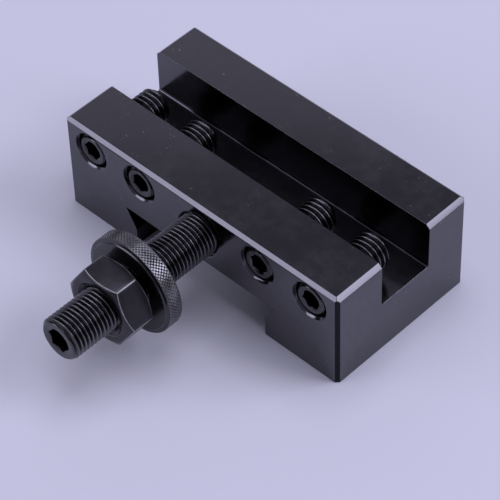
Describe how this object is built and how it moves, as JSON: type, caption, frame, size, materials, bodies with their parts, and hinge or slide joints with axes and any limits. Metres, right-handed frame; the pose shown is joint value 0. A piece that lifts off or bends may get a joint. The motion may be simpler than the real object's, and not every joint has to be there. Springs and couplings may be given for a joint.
{
  "type": "quick change lathe tool holder",
  "caption": "Black steel lathe tool holder with a dovetail socket, an open tool slot, clamp screws through one jaw, and a threaded stud with a knurled height wheel and a lock nut.",
  "frame": {"origin": "middle of the dovetail mouth, halfway along the dovetail, on the face that meets the tool post", "axes": "+X along the tool slot, +Y along the dovetail away from the height stud (down, when the holder hangs on a post), +Z away from the post, out of the open side of the tool slot"},
  "size_m": [0.0762, 0.0767, 0.0274],
  "materials": {
    "body_steel": "ground steel, black oxide",
    "screw_steel": "rolled thread, black oxide, oiled",
    "stud_steel": "rolled thread, black oxide, oiled",
    "wheel_steel": "turned and knurled steel, black oxide",
    "nut_steel": "black oxide with worn edges"
  },
  "bodies": {
    "holder": {"holder_body": "body_steel", "height_stud": "stud_steel"},
    "clamp_point_1": {"clamp_point_1": "screw_steel"},
    "clamp_screw_1": {"clamp_screw_1": "screw_steel"},
    "clamp_point_2": {"clamp_point_2": "screw_steel"},
    "clamp_screw_2": {"clamp_screw_2": "screw_steel"},
    "clamp_point_3": {"clamp_point_3": "screw_steel"},
    "clamp_screw_3": {"clamp_screw_3": "screw_steel"},
    "clamp_point_4": {"clamp_point_4": "screw_steel"},
    "clamp_screw_4": {"clamp_screw_4": "screw_steel"},
    "wheel_sleeve": {"wheel_sleeve": "wheel_steel"},
    "height_wheel": {"height_wheel": "wheel_steel"},
    "nut_sleeve": {"nut_sleeve": "nut_steel"},
    "lock_nut": {"lock_nut": "nut_steel"}
  },
  "joints": [
    {"name": "clamp_1_advance", "type": "slide", "parent": "holder", "child": "clamp_point_1", "axis": [0, 1, 0], "range_m": [-0.007, 0.00655]},
    {"name": "clamp_1_turn", "type": "hinge", "parent": "clamp_point_1", "child": "clamp_screw_1", "pos_m": [-0.0306, 0, 0.01915], "axis": [0, 1, 0], "range_deg": [-2017, 1888]},
    {"name": "clamp_2_advance", "type": "slide", "parent": "holder", "child": "clamp_point_2", "axis": [0, 1, 0], "range_m": [-0.007, 0.00655]},
    {"name": "clamp_2_turn", "type": "hinge", "parent": "clamp_point_2", "child": "clamp_screw_2", "pos_m": [-0.0166, 0, 0.01915], "axis": [0, 1, 0], "range_deg": [-2017, 1888]},
    {"name": "clamp_3_advance", "type": "slide", "parent": "holder", "child": "clamp_point_3", "axis": [0, 1, 0], "range_m": [-0.007, 0.00655]},
    {"name": "clamp_3_turn", "type": "hinge", "parent": "clamp_point_3", "child": "clamp_screw_3", "pos_m": [0.0166, 0, 0.01915], "axis": [0, 1, 0], "range_deg": [-2017, 1888]},
    {"name": "clamp_4_advance", "type": "slide", "parent": "holder", "child": "clamp_point_4", "axis": [0, 1, 0], "range_m": [-0.007, 0.00655]},
    {"name": "clamp_4_turn", "type": "hinge", "parent": "clamp_point_4", "child": "clamp_screw_4", "pos_m": [0.0306, 0, 0.01915], "axis": [0, 1, 0], "range_deg": [-2017, 1888]},
    {"name": "wheel_travel", "type": "slide", "parent": "holder", "child": "wheel_sleeve", "axis": [0, 1, 0], "range_m": [0, 0.01525]},
    {"name": "wheel_turn", "type": "hinge", "parent": "wheel_sleeve", "child": "height_wheel", "pos_m": [0, 0, 0.01625], "axis": [0, 1, 0], "range_deg": [0, 5491]},
    {"name": "nut_travel", "type": "slide", "parent": "holder", "child": "nut_sleeve", "axis": [0, 1, 0], "range_m": [-0.0105, 0.0014]},
    {"name": "nut_turn", "type": "hinge", "parent": "nut_sleeve", "child": "lock_nut", "pos_m": [0, 0, 0.01625], "axis": [0, 1, 0], "range_deg": [-3782, 506]}
  ],
  "couplings": [
    {"joint": "clamp_1_turn", "follows": "clamp_1_advance", "rad_per_m": 5026.6},
    {"joint": "clamp_2_turn", "follows": "clamp_2_advance", "rad_per_m": 5026.6},
    {"joint": "clamp_3_turn", "follows": "clamp_3_advance", "rad_per_m": 5026.6},
    {"joint": "clamp_4_turn", "follows": "clamp_4_advance", "rad_per_m": 5026.6},
    {"joint": "wheel_turn", "follows": "wheel_travel", "rad_per_m": 6283.2},
    {"joint": "nut_turn", "follows": "nut_travel", "rad_per_m": 6283.2}
  ]
}
